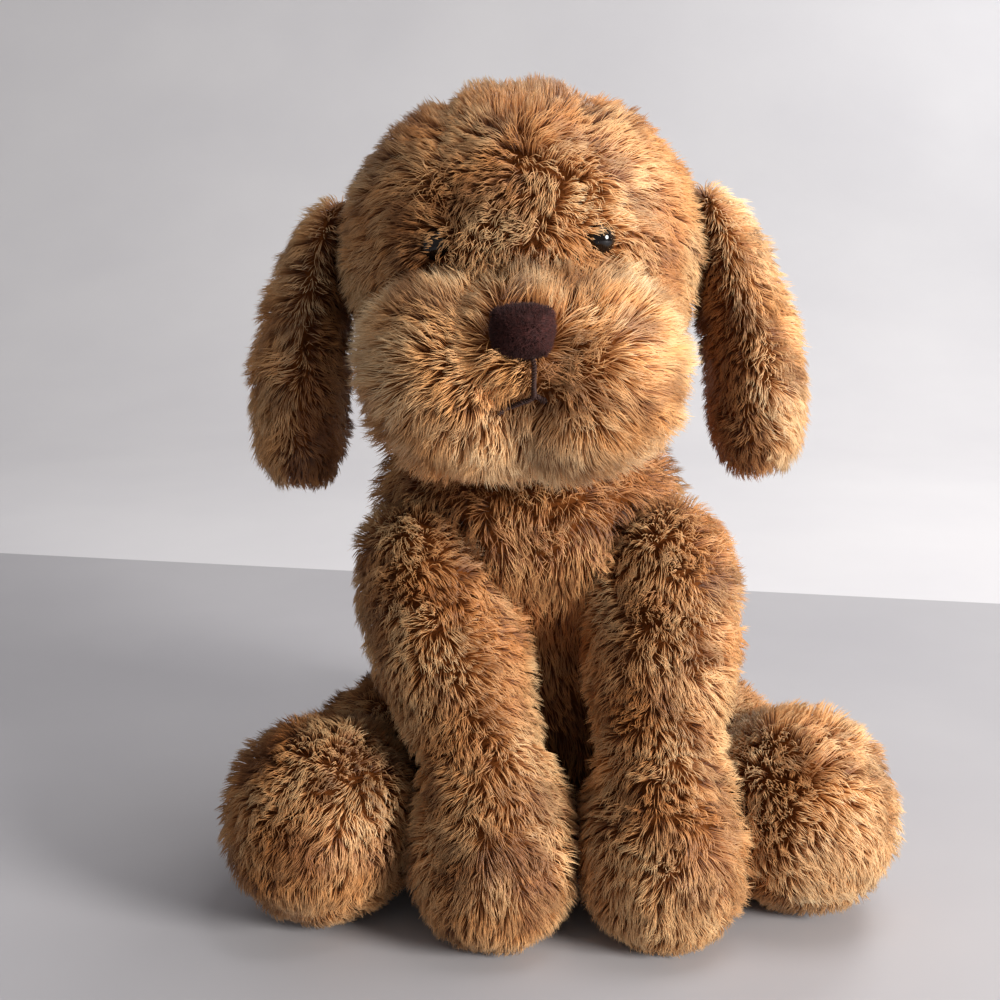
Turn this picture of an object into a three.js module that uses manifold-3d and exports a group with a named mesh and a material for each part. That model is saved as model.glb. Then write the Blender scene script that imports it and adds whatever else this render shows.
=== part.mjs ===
// A sitting plush puppy: sewn plush panels over stuffing, with safety eyes and a padded nose.
// Millimetres, +Z up. The puppy faces -Y, and its own left side is +X.
// The origin lies on the floor, on the flat of the seat and in the puppy's middle plane.
import * as THREE from "three";
import { mergeVertices } from "three/addons/utils/BufferGeometryUtils.js";
import Module from "manifold-3d";

const wasm = await Module();
wasm.setup();

// ---------------------------------------------------------------- driving dimensions

const SKIN = 1.8; // thickness of a sewn panel: backing cloth and its pressed pile
const SEAM = 0.4; // gap left at a seam, and between a skin and its stuffing
const CLEAR = 1.2; // room round a limb where it turns against the torso
const DENT_EXTRA = 1.4; // what a coarse copy of a limb falls short of its round shape

const HEAD_CENTRE = [-8.5, -12, 198.5];
const HEAD_HALF = [51.5, 46.5, 46.5];
const HEAD_ROLL = -2; // degrees about Y: its left side is carried a little higher
const HEAD_YAW = -2; // degrees about Z: it looks slightly to its right
const GUSSET_HALF = 17; // half the width of the strip over the skull
const GUSSET_END = -20; // the strip ends at this height, from the head's centre

const CHEEK_HALF = [23.5, 31, 25];
const CHEEK_AT = [19.5, -37.5, -30.5]; // from the head's centre, mirrored for the other cheek
const BRIDGE_HALF = [21, 36, 18];
const BRIDGE_AT = [0, -36, -23];
const CHIN_LEVEL = -38;

const NOSE_HALF = [9.5, 8, 7.5];
const NOSE_AT = [1.2, -70, -17];
// The mouth seen from the front, x and z from the head's centre.
const MOUTH_STEM = [[1.6, -25.5], [1.8, -29], [2, -32]];
const MOUTH_RIGHT = [[1.6, -31.6], [-1, -33.4], [-5, -36.5]];
const MOUTH_LEFT = [[2.4, -31.6], [5, -33.2], [8, -34.6]];
const THREAD_RADIUS = 0.8;
const THREAD_LIFT = 0.8; // the thread lies this far off the muzzle

const EYE_SPACING = 46;
const EYE_HEIGHT = 5; // above the head's centre
const EYE_RADIUS = 4.8;
const EYE_DOME = 3.6;
const SHANK_RADIUS = 1.5;
const SHANK_LENGTH = 11;
const WASHER_RADIUS = 6.5;
const WASHER_THICK = 1.2;
const WASHER_DEPTH = 5.4; // from the skin's outside to the washer's far face

const NECK_IN_HEAD = [0.5, 6, -40]; // the ball's centre, from the head's centre
const NECK_RADIUS = 28;
const NECK_BAND_TOP = 160;
const NECK_GAP = 1.5; // the band starts this far over the torso

const TORSO_TOP = 140;
// Level rings of the torso from the seat up: centre x, centre y, height, half width, half depth.
const TORSO_RINGS = [
  [0, 24, 0, 42, 35],
  [0, 25, 10, 50, 46],
  [0, 25, 30, 53, 51],
  [-0.5, 21, 55, 51, 46],
  [-2, 15, 80, 47, 41],
  [-4, 3, 106, 46, 40],
  [-6, -2, 125, 45, 36],
  [-7.5, -4, TORSO_TOP, 36, 26],
];
const SEAT_PANEL_TOP = 3.5;
const SIDE_SEAM_Y = 4;
const POUCH_HALF = [20, 24, 12];
const POUCH_AT = [0, 32, 17];
const POUCH_WAY = 6; // radius of the way in under the pouch

// A front leg: a round shoulder, a tube to the wrist, and a round paw.
const SHOULDER_RADIUS = 20;
const WRIST_RADIUS = 14;
const PAW_HALF = [21, 23.5];
const FRONT_LEGS = [
  { side: "right", shoulder: [-38, -24, 101], wrist: [-21, -54, 55], paw: [-17, -61, 25] },
  { side: "left", shoulder: [35, -24, 101], wrist: [33, -53, 54], paw: [33, -61, 25] },
];

// A hind leg: a round hip, a thigh, and a big round foot with its sole to the front.
const HIP_RADIUS = 22;
const ANKLE_RADIUS = 17.5;
const FOOT_HALF = [26.5, 29.5];
const FOOT_LENGTH = 54;
const HIND_LEGS = [
  { side: "right", hip: [-44, 18, 31], ankle: [-61, -20, 30], foot: [-69, -49, 28.5] },
  { side: "left", hip: [44, 18, 31], ankle: [65, -14, 30], foot: [77, -42, 28.5] },
];
const SOLE_TILT = 35; // degrees that the seam across a foot leans forwards

// An ear hangs from the side of the head: centre x, y, z from the head's centre, half thickness, half width.
const EAR_STATIONS = [
  [-55, 6, 15, 2.6, 9],
  [-60, 6, 6, 4.6, 14],
  [-65.5, 6, -12, 8, 18.5],
  [-70, 6, -34, 10.8, 20.5],
  [-71.5, 6, -53, 11, 18.5],
  [-71, 6, -67, 6, 11],
];
const EAR_LEAN = Math.atan2(14, 62); // the slope of the edge between an ear's two faces
const EAR_EDGE_AT = [65, 0, -22]; // a point on that edge, mirrored for the other ear

const TAIL_PIVOT = [0, 75, 27];
const TAIL_BALL = 11;
// Centre y, z and half thickness along the tail; its first part is the ball that turns in the torso.
const TAIL_STATIONS = [
  [66, 26, 5],
  [75, 27, TAIL_BALL],
  [88, 31, 9.5],
  [100, 38, 8],
  [107, 43, 4],
];

// ---------------------------------------------------------------- solids from three.js geometry

const SIDES = 10;
const SPHERE = [10, 8];
const DENT = { steps: 6, sides: 8 }; // a dent in the torso is cut by a coarser copy of the limb

function solid(geometry) {
  const bare = geometry.clone();
  bare.deleteAttribute("normal");
  bare.deleteAttribute("uv");
  const merged = mergeVertices(bare, 1e-4);
  return new wasm.Manifold(
    new wasm.Mesh({
      numProp: 3,
      vertProperties: new Float32Array(merged.attributes.position.array),
      triVerts: new Uint32Array(merged.index.array),
    }),
  );
}

// The largest connected piece, without the crumbs that crossing seams can leave.
const whole = (body) => body.decompose().sort((a, b) => b.volume() - a.volume())[0];

function meshOf(name, body, material) {
  const made = whole(body).getMesh();
  const geometry = new THREE.BufferGeometry();
  geometry.setAttribute("position", new THREE.BufferAttribute(made.vertProperties, 3));
  geometry.setIndex(new THREE.BufferAttribute(made.triVerts, 1));
  geometry.computeVertexNormals();
  const mesh = new THREE.Mesh(geometry, material);
  mesh.name = name;
  return mesh;
}

const union = (...solids) => solids.reduce((all, one) => all.add(one));

// An ellipsoid, shrunk by inset on every side.
function ellipsoid(centre, half, inset = 0, cuts = SPHERE) {
  const geometry = new THREE.SphereGeometry(1, ...cuts);
  geometry.scale(...half.map((h) => h - inset));
  geometry.translate(...centre);
  return geometry;
}

const ball = (centre, radius, inset = 0) => ellipsoid(centre, [radius, radius, radius], inset);

const middle = (a, b) => a.map((value, i) => (value + b[i]) / 2);
const shifted = (a, b, share = 1) => a.map((value, i) => value + b[i] * share);

function block(low, high) {
  const size = high.map((h, i) => h - low[i]);
  const geometry = new THREE.BoxGeometry(...size);
  geometry.translate(...high.map((h, i) => (h + low[i]) / 2));
  return geometry;
}

const FAR = 400;
const above = (z) => solid(block([-FAR, -FAR, z], [FAR, FAR, FAR]));
const below = (z) => solid(block([-FAR, -FAR, -FAR], [FAR, FAR, z]));
const behind = (y) => solid(block([-FAR, y, -FAR], [FAR, FAR, FAR]));
const before = (y) => solid(block([-FAR, -FAR, -FAR], [FAR, y, FAR]));
const leftOf = (x) => solid(block([x, -FAR, -FAR], [FAR, FAR, FAR]));
const rightOf = (x) => solid(block([-FAR, -FAR, -FAR], [x, FAR, FAR]));
const within = (x) => solid(block([-x, -FAR, -FAR], [x, FAR, FAR]));

// A closed body through rings: each ring is a list of points, and both ends close on their middle.
function skinOver(rings) {
  const points = rings.flat();
  const middle = (ring) => ring.reduce((a, b) => a.clone().add(b)).divideScalar(ring.length);
  const first = points.push(middle(rings[0])) - 1;
  const last = points.push(middle(rings.at(-1))) - 1;
  const n = rings[0].length;
  const index = [];
  for (let i = 0; i < n; i++) {
    const j = (i + 1) % n;
    for (let r = 0; r < rings.length - 1; r++) {
      const [a, b, c, d] = [r * n + i, r * n + j, (r + 1) * n + j, (r + 1) * n + i];
      index.push(a, b, c, a, c, d);
    }
    const top = (rings.length - 1) * n;
    index.push(first, j, i, last, top + i, top + j);
  }
  const geometry = new THREE.BufferGeometry().setFromPoints(points);
  geometry.setIndex(index);
  return geometry;
}

// A limb: oval rings square to a smooth spine through its stations { at, across, deep }.
function limb(stations, inset = 0, steps = 6, sides = SIDES) {
  const spine = new THREE.CatmullRomCurve3(stations.map((s) => new THREE.Vector3(...s.at)));
  const sizes = new THREE.CatmullRomCurve3(stations.map((s) => new THREE.Vector3(s.across, s.deep, 0)));
  const rings = [];
  for (let k = 0; k <= steps; k++) {
    const t = k / steps;
    const along = spine.getTangent(t);
    const end = k === 0 ? inset : k === steps ? -inset : 0;
    const centre = spine.getPoint(t).addScaledVector(along, end);
    const across = new THREE.Vector3(1, 0, 0).addScaledVector(along, -along.x).normalize();
    const deep = new THREE.Vector3().crossVectors(along, across);
    const size = sizes.getPoint(t);
    rings.push(ovalRing(centre, across, deep, size.x - inset, size.y - inset, sides));
  }
  return skinOver(rings);
}

function ovalRing(centre, u, v, a, b, sides = SIDES) {
  const ring = [];
  for (let i = 0; i < sides; i++) {
    const turn = (2 * Math.PI * i) / sides;
    ring.push(
      centre.clone().addScaledVector(u, a * Math.cos(turn)).addScaledVector(v, b * Math.sin(turn)),
    );
  }
  return ring;
}

// ---------------------------------------------------------------- materials

const matte = (name, color, roughness = 0.95) => {
  const material = new THREE.MeshStandardMaterial({ color, roughness, metalness: 0 });
  material.name = name;
  return material;
};
const PLUSH = matte("plush", 0xb9834f);
const CHEST_PLUSH = matte("chest_plush", 0x8f5c33);
const EAR_LINING = matte("ear_lining", 0x83532f);
const SOLE_PLUSH = matte("sole_plush", 0xc8955e);
const VELVET = matte("nose_velvet", 0x3f1b1a, 0.85);
const THREAD = matte("thread", 0x2c1712, 0.8);
const FIBRE = matte("stuffing", 0xefece4);
const PELLET_CLOTH = matte("pellet_pouch", 0xd9d6cc);
const EYE_PLASTIC = matte("eye_plastic", 0x14100f, 0.1);
const WASHER_PLASTIC = matte("washer_plastic", 0xe9e9e6, 0.5);

const puppy = new THREE.Group();

// ---------------------------------------------------------------- head, in its own tilted group

const head = new THREE.Group();
head.position.set(...HEAD_CENTRE);
head.rotation.set(0, THREE.MathUtils.degToRad(HEAD_ROLL), THREE.MathUtils.degToRad(HEAD_YAW));
puppy.add(head);

const mirrored = (at) => [-at[0], at[1], at[2]];

const SKULL_CUTS = [14, 10];
const skull = (inset) => solid(ellipsoid([0, 0, 0], HEAD_HALF, inset, SKULL_CUTS));
const muzzle = (inset) =>
  union(
    solid(ellipsoid(CHEEK_AT, CHEEK_HALF, inset)),
    solid(ellipsoid(mirrored(CHEEK_AT), CHEEK_HALF, inset)),
    solid(ellipsoid(BRIDGE_AT, BRIDGE_HALF, inset)),
  );

// Where an eye's axis meets the skull, and the way out of the head there.
function eyeAxis(side) {
  const x = (side * EYE_SPACING) / 2;
  const flat = 1 - (x / HEAD_HALF[0]) ** 2 - (EYE_HEIGHT / HEAD_HALF[2]) ** 2;
  const at = new THREE.Vector3(x, -HEAD_HALF[1] * Math.sqrt(flat), EYE_HEIGHT);
  const out = at.clone().divide(new THREE.Vector3(...HEAD_HALF.map((h) => h * h))).normalize();
  return { at, out };
}

// A shape made round the Y axis, turned onto an eye's axis and moved out along it.
function alongEye(side, geometry, distance) {
  const { at, out } = eyeAxis(side);
  const turn = new THREE.Quaternion().setFromUnitVectors(new THREE.Vector3(0, 1, 0), out);
  return geometry.applyQuaternion(turn).translate(...at.addScaledVector(out, distance).toArray());
}

const EYE_SIDES = 12;

function safetyEye() {
  const profile = [new THREE.Vector2(0, -SHANK_LENGTH), new THREE.Vector2(SHANK_RADIUS, -SHANK_LENGTH)];
  profile.push(new THREE.Vector2(SHANK_RADIUS, 0), new THREE.Vector2(EYE_RADIUS, 0));
  const arcs = 5;
  for (let k = 1; k < arcs; k++) {
    const turn = (k / arcs) * (Math.PI / 2);
    profile.push(new THREE.Vector2(EYE_RADIUS * Math.cos(turn), EYE_DOME * Math.sin(turn)));
  }
  profile.push(new THREE.Vector2(0, EYE_DOME));
  return new THREE.LatheGeometry(profile, EYE_SIDES);
}

function washer() {
  const bore = SHANK_RADIUS + SEAM;
  const corners = [
    [bore, 0],
    [WASHER_RADIUS, 0],
    [WASHER_RADIUS, WASHER_THICK],
    [bore, WASHER_THICK],
    [bore, 0],
  ];
  return new THREE.LatheGeometry(corners.map((c) => new THREE.Vector2(...c)), EYE_SIDES);
}

const pin = (radius, length) => new THREE.CylinderGeometry(radius, radius, length, EYE_SIDES);
const EYE_LIFT = 0.5; // the dome's back stands this far off the curved skin
// Lengths of the round cuts that make room for an eye.
const SHANK_HOLE = 40;
const EYE_SEAT = 20;
const WASHER_ROOM = 12;
const bothEyes = (make) => union(make(-1), make(1));
const shankHoles = bothEyes((side) => solid(alongEye(side, pin(SHANK_RADIUS + SEAM, SHANK_HOLE), 0)));
const eyeSeats = bothEyes((side) => solid(alongEye(side, pin(EYE_RADIUS + SEAM, EYE_SEAT), EYE_SEAT / 2)));
const washerRoom = bothEyes((side) =>
  solid(alongEye(side, pin(WASHER_RADIUS + SEAM, WASHER_ROOM), -WASHER_ROOM / 2)),
);

const neckRoom = solid(ball(NECK_IN_HEAD, NECK_RADIUS + CLEAR));

function buildHead() {
  const hollow = union(skull(SKIN), muzzle(SKIN));
  const eyeRoom = union(shankHoles, eyeSeats);
  const muzzleSkin = muzzle(0).subtract(hollow).subtract(neckRoom).subtract(eyeRoom);
  const skullOnly = skull(0).subtract(muzzle(-SEAM));
  const skullSkin = skullOnly.subtract(hollow).subtract(neckRoom).subtract(eyeRoom);
  const side = GUSSET_HALF + SEAM;
  head.add(meshOf("head_gusset", skullSkin.intersect(within(GUSSET_HALF)).intersect(above(GUSSET_END)), PLUSH));
  const sides = skullSkin.subtract(within(side).intersect(above(GUSSET_END - SEAM)));
  head.add(meshOf("head_side_left", sides.intersect(leftOf(SEAM / 2)), PLUSH));
  head.add(meshOf("head_side_right", sides.intersect(rightOf(-SEAM / 2)), PLUSH));
  const nose = solid(ellipsoid(NOSE_AT, NOSE_HALF));
  const noseRoom = solid(ellipsoid(NOSE_AT, NOSE_HALF, -SEAM));
  const cheeks = muzzleSkin.intersect(above(CHIN_LEVEL + SEAM / 2)).subtract(noseRoom);
  head.add(meshOf("cheek_left", cheeks.intersect(leftOf(SEAM / 2)), PLUSH));
  head.add(meshOf("cheek_right", cheeks.intersect(rightOf(-SEAM / 2)), PLUSH));
  head.add(meshOf("chin", muzzleSkin.intersect(below(CHIN_LEVEL - SEAM / 2)), PLUSH));
  head.add(meshOf("nose", nose, VELVET));
  const inner = SKIN + SEAM;
  const fill = skull(inner).subtract(neckRoom).subtract(washerRoom).subtract(shankHoles);
  head.add(meshOf("head_stuffing", fill, FIBRE));
  const front = muzzle(inner).subtract(skull(inner - SEAM)).subtract(noseRoom).subtract(neckRoom);
  head.add(meshOf("muzzle_stuffing", front, FIBRE));
  for (const [name, side] of [["left", 1], ["right", -1]]) {
    const eye = solid(alongEye(side, safetyEye(), EYE_LIFT));
    head.add(meshOf("eye_" + name, eye, EYE_PLASTIC));
    const disc = solid(alongEye(side, washer(), -WASHER_DEPTH));
    head.add(meshOf("eye_washer_" + name, disc, WASHER_PLASTIC));
  }
}

// A thread from the nose down the middle of the muzzle, with two short curved branches.
function buildMouth() {
  const outer = new THREE.Raycaster();
  const surface = new THREE.Mesh(meshOf("probe", muzzle(0), PLUSH).geometry);
  const onMuzzle = (x, z) => {
    outer.set(new THREE.Vector3(x, -FAR, z), new THREE.Vector3(0, 1, 0));
    const y = outer.intersectObject(surface)[0].point.y;
    return new THREE.Vector3(x, y - THREAD_RADIUS - THREAD_LIFT, z);
  };
  const section = new THREE.Shape().absarc(0, 0, THREAD_RADIUS, 0, 2 * Math.PI);
  const strand = (places) =>
    solid(
      new THREE.ExtrudeGeometry(section, {
        extrudePath: new THREE.CatmullRomCurve3(places.map((p) => onMuzzle(...p))),
        steps: 4,
        curveSegments: 3,
      }),
    );
  const thread = union(strand(MOUTH_STEM), strand(MOUTH_RIGHT), strand(MOUTH_LEFT));
  head.add(meshOf("mouth_stitch", thread, THREAD));
}

buildHead();
buildMouth();

// ---------------------------------------------------------------- ears, in the head's group

function buildEar(name, mirror) {
  const stations = EAR_STATIONS.map(([x, y, z, thick, wide]) => ({
    at: [mirror * x, y, z],
    across: thick,
    deep: wide,
  }));
  const lobe = (inset) => solid(limb(stations, inset, 7));
  const skin = lobe(0).subtract(lobe(SKIN));
  const [edgeX, edgeY, edgeZ] = EAR_EDGE_AT;
  // The lining faces the head.
  const facing = (gap) => {
    const half = new THREE.BoxGeometry(FAR, FAR, FAR).translate((mirror * FAR) / 2 + mirror * gap, 0, 0);
    return solid(half.rotateY(EAR_LEAN * mirror).translate(-mirror * edgeX, edgeY, edgeZ));
  };
  const inward = facing(SEAM / 2);
  const outward = facing(-SEAM / 2);
  head.add(meshOf("ear_outer_" + name, skin.subtract(outward), PLUSH));
  head.add(meshOf("ear_lining_" + name, skin.intersect(inward), EAR_LINING));
  head.add(meshOf("ear_padding_" + name, lobe(SKIN + SEAM), FIBRE));
}

buildEar("right", 1);
buildEar("left", -1);

// ---------------------------------------------------------------- neck

head.updateMatrix();
const NECK = new THREE.Vector3(...NECK_IN_HEAD).applyMatrix4(head.matrix).toArray();

function buildNeck() {
  const seat = above(TORSO_TOP + NECK_GAP);
  const shell = solid(ball(NECK, NECK_RADIUS)).subtract(solid(ball(NECK, NECK_RADIUS, SKIN)));
  puppy.add(meshOf("neck_band", shell.intersect(seat).intersect(below(NECK_BAND_TOP)), PLUSH));
  const fill = solid(ball(NECK, NECK_RADIUS, SKIN + SEAM)).intersect(seat);
  puppy.add(meshOf("neck_stuffing", fill, FIBRE));
}

buildNeck();

// ---------------------------------------------------------------- legs

// A body of the leg's shape, shrunk by inset, and cut level where it meets the floor.
function frontLeg({ shoulder, wrist, paw }, inset, steps = 9, sides = SIDES) {
  const [across, deep] = PAW_HALF;
  const stations = [
    { at: shifted(shoulder, [0, 5, 17]), across: 9, deep: 9 },
    { at: shifted(shoulder, [0, 0, 4]), across: SHOULDER_RADIUS, deep: SHOULDER_RADIUS },
    { at: middle(shoulder, wrist), across: SHOULDER_RADIUS, deep: SHOULDER_RADIUS },
    { at: wrist, across: WRIST_RADIUS, deep: WRIST_RADIUS },
    { at: shifted(paw, [0, 2, 9]), across: across - 1, deep: deep - 1.5 },
    { at: shifted(paw, [0, -1, -9]), across, deep },
    { at: shifted(paw, [0, -1, -27]), across: 9, deep: 11 },
  ];
  return solid(limb(stations, inset, steps, sides)).intersect(above(inset));
}

function hindLeg({ hip, ankle, foot }, inset, steps = 10, sides = SIDES) {
  const [across, deep] = FOOT_HALF;
  const along = new THREE.Vector3(...foot).sub(new THREE.Vector3(...ankle)).normalize();
  const way = along.toArray();
  const stations = [
    { at: shifted(hip, way, -20), across: 8, deep: 8 },
    { at: shifted(hip, way, -4), across: HIP_RADIUS - 1, deep: HIP_RADIUS - 1 },
    { at: middle(hip, ankle), across: HIP_RADIUS, deep: HIP_RADIUS },
    { at: ankle, across: ANKLE_RADIUS, deep: ANKLE_RADIUS },
    { at: shifted(foot, way, -12), across: across - 3, deep: deep - 3 },
    { at: foot, across, deep },
    { at: shifted(foot, way, FOOT_LENGTH * 0.3), across: across * 0.8, deep: deep * 0.8 },
    { at: shifted(foot, way, FOOT_LENGTH * 0.5), across: 7, deep: 8 },
  ];
  return solid(limb(stations, inset, steps, sides)).intersect(above(inset));
}

// The side of a plane that holds a point: square to the limb, through its wrist or ankle.
function beyond(from, to, gap) {
  const along = new THREE.Vector3(...to).sub(new THREE.Vector3(...from)).normalize();
  const turn = new THREE.Quaternion().setFromUnitVectors(new THREE.Vector3(0, 0, 1), along);
  const half = new THREE.BoxGeometry(FAR, FAR, FAR).translate(0, 0, FAR / 2 + gap);
  return solid(half.applyQuaternion(turn).translate(...from));
}

for (const leg of FRONT_LEGS) {
  const skin = frontLeg(leg, 0).subtract(frontLeg(leg, SKIN));
  const paw = skin.intersect(beyond(leg.wrist, leg.paw, SEAM / 2));
  const upper = skin.subtract(beyond(leg.wrist, leg.paw, -SEAM / 2));
  puppy.add(meshOf("front_leg_" + leg.side, upper, PLUSH));
  puppy.add(meshOf("front_paw_" + leg.side, paw, PLUSH));
  puppy.add(meshOf("front_leg_stuffing_" + leg.side, frontLeg(leg, SKIN + SEAM), FIBRE));
}

// The half space under the seam that crosses a foot.
function underSeam(foot, gap) {
  const half = new THREE.BoxGeometry(FAR, FAR, FAR).translate(0, 0, gap - FAR / 2);
  return solid(half.rotateX(THREE.MathUtils.degToRad(SOLE_TILT)).translate(...foot));
}

for (const leg of HIND_LEGS) {
  const skin = hindLeg(leg, 0).subtract(hindLeg(leg, SKIN));
  const foot = skin.intersect(beyond(leg.ankle, leg.foot, SEAM / 2));
  const thigh = skin.subtract(beyond(leg.ankle, leg.foot, -SEAM / 2));
  puppy.add(meshOf("thigh_" + leg.side, thigh, PLUSH));
  puppy.add(meshOf("foot_upper_" + leg.side, foot.subtract(underSeam(leg.foot, SEAM / 2)), PLUSH));
  puppy.add(meshOf("foot_sole_" + leg.side, foot.intersect(underSeam(leg.foot, -SEAM / 2)), SOLE_PLUSH));
  puppy.add(meshOf("hind_leg_stuffing_" + leg.side, hindLeg(leg, SKIN + SEAM), FIBRE));
}

// ---------------------------------------------------------------- tail

const tail = (inset) =>
  solid(limb(TAIL_STATIONS.map(([y, z, half]) => ({ at: [0, y, z], across: half, deep: half })), inset, 6));

function buildTail() {
  // The tail's skin is open at its root, where the stuffing went in.
  const opening = before(TAIL_STATIONS[0][0] + 2 * SKIN);
  puppy.add(meshOf("tail", tail(0).subtract(tail(SKIN)).subtract(opening), PLUSH));
  puppy.add(meshOf("tail_stuffing", tail(SKIN + SEAM), FIBRE));
}

buildTail();

// ---------------------------------------------------------------- torso

function torsoBody(inset) {
  const rings = TORSO_RINGS.map(([x, y, z, a, b], k) => {
    const end = k === 0 ? inset : k === TORSO_RINGS.length - 1 ? -inset : 0;
    const centre = new THREE.Vector3(x, y, z + end);
    const right = new THREE.Vector3(1, 0, 0);
    const back = new THREE.Vector3(0, 1, 0);
    return ovalRing(centre, right, back, a - inset, b - inset);
  });
  return solid(skinOver(rings));
}

// Everything that turns against the torso, grown by a margin, each with a round dent about its pivot.
function sockets(margin) {
  const grown = -margin - DENT_EXTRA;
  const { steps, sides } = DENT;
  const dent = (pivot, radius) => solid(ellipsoid(pivot, [radius, radius, radius], grown, [sides, steps]));
  const front = FRONT_LEGS.flatMap((leg) => [
    frontLeg(leg, grown, steps, sides),
    dent(leg.shoulder, SHOULDER_RADIUS),
  ]);
  const hind = HIND_LEGS.flatMap((leg) => [hindLeg(leg, grown, steps, sides), dent(leg.hip, HIP_RADIUS)]);
  return union(...front, ...hind, dent(TAIL_PIVOT, TAIL_BALL));
}

function buildTorso() {
  const outer = torsoBody(0).subtract(sockets(CLEAR));
  const skin = outer.subtract(torsoBody(SKIN).subtract(sockets(CLEAR + SKIN)));
  const seat = skin.intersect(below(SEAT_PANEL_TOP - SEAM / 2));
  const wall = skin.intersect(above(SEAT_PANEL_TOP + SEAM / 2));
  const chest = wall.intersect(before(SIDE_SEAM_Y - SEAM / 2));
  const back = wall.intersect(behind(SIDE_SEAM_Y + SEAM / 2));
  puppy.add(meshOf("seat_panel", seat, PLUSH));
  puppy.add(meshOf("chest_panel", chest, CHEST_PLUSH));
  puppy.add(meshOf("back_panel_left", back.intersect(leftOf(SEAM / 2)), PLUSH));
  puppy.add(meshOf("back_panel_right", back.intersect(rightOf(-SEAM / 2)), PLUSH));
  const pouch = solid(ellipsoid(POUCH_AT, POUCH_HALF));
  const inner = SKIN + SEAM;
  const fill = torsoBody(inner).subtract(sockets(CLEAR + inner));
  // The pouch went in from below, so the fibre is open under it.
  const way = new THREE.CylinderGeometry(POUCH_WAY, POUCH_WAY, 2 * POUCH_AT[2], SIDES);
  way.rotateX(Math.PI / 2).translate(POUCH_AT[0], POUCH_AT[1], 0);
  const room = solid(ellipsoid(POUCH_AT, POUCH_HALF, -SEAM)).add(solid(way));
  puppy.add(meshOf("torso_stuffing", fill.subtract(room), FIBRE));
  puppy.add(meshOf("pellet_pouch", pouch, PELLET_CLOTH));
}

buildTorso();

export default puppy;
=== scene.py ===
"""A sitting plush dog with long combed pile, a flocked nose and glossy bead eyes, on a pale studio floor."""

import math

import bmesh
import bpy
import numpy as np
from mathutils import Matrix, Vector
from mathutils.bvhtree import BVHTree


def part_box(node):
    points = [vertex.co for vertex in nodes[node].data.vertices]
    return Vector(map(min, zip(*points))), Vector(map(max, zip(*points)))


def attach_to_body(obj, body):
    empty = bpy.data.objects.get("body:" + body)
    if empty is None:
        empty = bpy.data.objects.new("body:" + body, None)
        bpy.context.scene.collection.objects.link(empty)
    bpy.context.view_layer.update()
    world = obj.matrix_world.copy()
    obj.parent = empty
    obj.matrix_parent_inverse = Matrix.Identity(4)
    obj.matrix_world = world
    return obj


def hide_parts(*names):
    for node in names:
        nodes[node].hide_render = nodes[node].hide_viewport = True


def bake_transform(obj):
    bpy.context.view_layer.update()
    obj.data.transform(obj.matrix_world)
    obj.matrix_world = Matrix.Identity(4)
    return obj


# Driving dimensions, in metres unless a comment says otherwise.

# Forms
VOXEL = 0.0025
EAR_VOXEL = 0.0018
NOSE_VOXEL = 0.0009
ROUNDING_STEPS = 14  # smoothing passes
CHIN_ROUNDING_STEPS = 4
NOSE_ROUNDING_STEPS = 10
SKIN_SWELL = 0.0006
CHEST_FULLNESS = 0.006
CHIN_FULLNESS = 0.009
# Centre and reach of the two mounds.
CHEST_MOUND = (-0.006, -0.036, 0.112), (0.034, 0.02, 0.02)
CHIN_MOUND = (-0.008, -0.056, 0.151), (0.013, 0.020, 0.012)
CHEEK_FILLING = 1.8  # share of a hollow under the cheeks that is filled
CHEEK_FILLING_STEPS = 110
CHEEK_FILLING_LOW = 0.150  # hollows are filled fully below this height
CHEEK_FILLING_HIGH = 0.172  # and not at all above this one

# Pile
STRANDS_PER_M2 = 1.75e6  # strands per square metre
MOST_STRANDS = 20500  # strands on one panel
STRAND_RADIUS = 0.00013
SHORTEST_STRAND = 0.0008
ROOT_DEPTH = 0.0004
CLUMP = 0.0023
TUFT = 0.0085
WAVE = TUFT * 2.6
CLUMP_PULL = 0.42  # share of the way to the clump's middle
TUFT_PULL = 0.1  # share of the way to the tuft's middle
BEND_AT = 0.68  # share of the strand's length
# How far a tuft, clump, wave or single strand strays from the combed way, whose own weight is 1.
TUFT_STRAY = 1.1
CLUMP_STRAY = 0.8
WAVE_STRAY = 0.7
OWN_STRAY = 0.14
# How upright a strand stands, from 0 to 1: the mean, the spreads round it and the limits.
MEAN_LIFT = 0.72
TUFT_LIFT = 0.4
CLUMP_LIFT = 0.25
LEAST_LIFT = 0.35
MOST_LIFT = 0.97
MIDDLE_LIFT = 0.08  # how much more upright a strand is up to its bend
STRAIGHTNESS = 0.3  # share of its lean that a strand has from the root
CLUMP_LENGTH = 0.16  # spread of the lengths from clump to clump
OWN_LENGTH = (0.86, 1.05)  # spread of the lengths within a clump
SEAM_REACH = 0.0045
SEAM_TRIM = 0.62  # share of the length left at a seam
BURIED_REACH = 0.006
BURIED_TRIM = 0.7  # share of the length lost where a neighbour covers the skin
PRESSED = 0.5  # share of the length left at the floor
PRESSED_FROM = 0.022  # height below which the pile gets shorter
PRESSED_TO = 0.002  # height where it is shortest
FLOOR_CLEARANCE = 0.0003
FLOOR_SPREAD = 0.002
FLOW_START = 0.030  # a flow away from a point is weaker nearer to it than this
SEED = 20

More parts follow.
